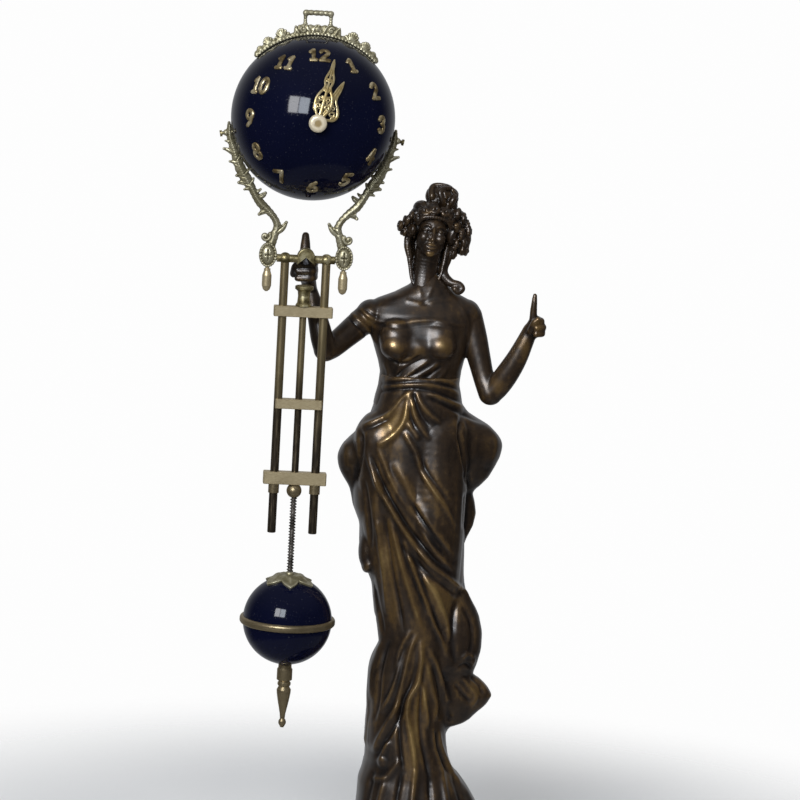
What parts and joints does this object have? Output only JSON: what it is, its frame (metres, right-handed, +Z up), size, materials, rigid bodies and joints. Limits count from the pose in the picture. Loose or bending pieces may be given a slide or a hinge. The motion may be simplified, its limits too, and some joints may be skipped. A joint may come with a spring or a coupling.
{
  "type": "mystery clock",
  "caption": "Figure clock: a ball clock with rods and a ball bob hangs and swings on the raised hand of a robed figure on a round foot.",
  "frame": {"origin": "centre of the foot's felt underside", "axes": "+Z up, -Y towards the viewer of the dial, +X to that viewer's right"},
  "size_m": [0.2417, 0.1914, 0.6421],
  "materials": {
    "felt": "green felt",
    "figure_bronze": "dark brown patina, waxed",
    "steel": "bright",
    "antique_brass": "antiqued, olive",
    "rod_bronze": "dark toned",
    "pale_brass": "satin",
    "dark_blue": "gloss lacquer on spun brass",
    "gilt": "polished",
    "movement_brass": "lacquered",
    "screw_steel": "blued",
    "spring_steel": "tempered",
    "iron": "raw casting"
  },
  "bodies": {
    "stand": {"plinth_felt": "felt", "plinth": "figure_bronze", "tie_bolt": "steel", "figure_robe": "figure_bronze", "figure_torso": "figure_bronze", "figure_head": "figure_bronze", "figure_arm_left": "figure_bronze", "figure_arm_right": "figure_bronze", "pivot_stud": "steel"},
    "clock": {"crossbar": "antique_brass", "bracket_left": "antique_brass", "bracket_right": "antique_brass", "drop_finials": "antique_brass", "bracket_screws": "antique_brass", "side_rods": "rod_bronze", "centre_rod": "rod_bronze", "spool_finial": "antique_brass", "cross_piece_upper": "pale_brass", "cross_piece_middle": "pale_brass", "cross_piece_lower": "pale_brass", "rod_ferrules": "rod_bronze", "bead_nut": "pale_brass", "rating_screw": "steel", "ball_shell": "dark_blue", "back_cover": "dark_blue", "girdle_ring": "movement_brass", "crest": "antique_brass", "top_handle": "antique_brass", "numerals": "gilt", "front_plate": "movement_brass", "back_plate": "movement_brass", "movement_pillars": "movement_brass", "pillar_nuts": "screw_steel", "plate_screws": "screw_steel"},
    "barrel": {"spring_barrel": "movement_brass", "barrel_cap": "movement_brass", "mainspring": "spring_steel"},
    "winding": {"winding_arbor": "steel", "ratchet_wheel": "steel"},
    "click_lever": {"click": "steel"},
    "intermediate": {"intermediate_wheel": "movement_brass"},
    "third": {"third_wheel": "movement_brass"},
    "escape": {"escape_wheel": "movement_brass"},
    "minute_arbor": {"centre_arbor": "steel", "centre_wheel": "movement_brass", "setting_knob": "movement_brass", "cannon_pinion": "steel", "minute_hand": "gilt", "hand_hub": "gilt"},
    "motion": {"minute_wheel": "movement_brass"},
    "hour": {"hour_wheel": "movement_brass", "hour_hand": "gilt"},
    "pallets": {"anchor": "movement_brass", "inner_pendulum": "movement_brass"},
    "bob": {"bob_upper": "dark_blue", "bob_lower": "dark_blue", "bob_ring": "pale_brass", "bob_weight": "iron", "leaf_cap": "antique_brass"},
    "nut": {"rating_nut": "pale_brass"}
  },
  "joints": [
    {"name": "swing", "type": "hinge", "parent": "stand", "child": "clock", "pos_m": [-0.095, -0.045, 0.47], "axis": [0, 1, 0], "range_deg": [-3.5, 3.5]},
    {"name": "minute_spin", "type": "hinge", "parent": "clock", "child": "minute_arbor", "pos_m": [-0.095, -0.045, 0.567], "axis": [0, 1, 0], "continuous": true},
    {"name": "hour_spin", "type": "hinge", "parent": "clock", "child": "hour", "pos_m": [-0.095, -0.045, 0.567], "axis": [0, 1, 0], "continuous": true},
    {"name": "motion_spin", "type": "hinge", "parent": "clock", "child": "motion", "pos_m": [-0.08253, -0.045, 0.5598], "axis": [0, 1, 0], "continuous": true},
    {"name": "intermediate_spin", "type": "hinge", "parent": "clock", "child": "intermediate", "pos_m": [-0.11277, -0.045, 0.55783], "axis": [0, 1, 0], "continuous": true},
    {"name": "barrel_spin", "type": "hinge", "parent": "clock", "child": "barrel", "pos_m": [-0.095, -0.045, 0.542], "axis": [0, 1, 0], "continuous": true},
    {"name": "third_spin", "type": "hinge", "parent": "clock", "child": "third", "pos_m": [-0.07968, -0.045, 0.57986], "axis": [0, 1, 0], "continuous": true},
    {"name": "escape_spin", "type": "hinge", "parent": "clock", "child": "escape", "pos_m": [-0.0951, -0.045, 0.587], "axis": [0, 1, 0], "continuous": true},
    {"name": "pallet_rock", "type": "hinge", "parent": "clock", "child": "pallets", "pos_m": [-0.0951, -0.045, 0.605], "axis": [0, 1, 0], "range_deg": [-4, 4]},
    {"name": "wind", "type": "hinge", "parent": "clock", "child": "winding", "pos_m": [-0.095, -0.045, 0.542], "axis": [0, 1, 0], "continuous": true},
    {"name": "click_lift", "type": "hinge", "parent": "clock", "child": "click_lever", "pos_m": [-0.10816, -0.045, 0.54679], "axis": [0, 1, 0], "range_deg": [-10, 0]},
    {"name": "bob_height", "type": "slide", "parent": "clock", "child": "bob", "axis": [0, 0, 1], "range_m": [-0.003, 0.003]},
    {"name": "nut_turn", "type": "hinge", "parent": "bob", "child": "nut", "pos_m": [-0.095, -0.045, 0.17], "axis": [0, 0, 1], "range_deg": [-675, 675]}
  ],
  "couplings": [
    {"joint": "hour_spin", "follows": "minute_spin", "ratio": 0.083333},
    {"joint": "motion_spin", "follows": "minute_spin", "ratio": -0.33333},
    {"joint": "intermediate_spin", "follows": "minute_spin", "ratio": -0.11111},
    {"joint": "barrel_spin", "follows": "minute_spin", "ratio": 0.014815},
    {"joint": "third_spin", "follows": "minute_spin", "ratio": -9},
    {"joint": "escape_spin", "follows": "minute_spin", "ratio": 67.5},
    {"joint": "nut_turn", "follows": "bob_height", "rad_per_m": 3927}
  ]
}
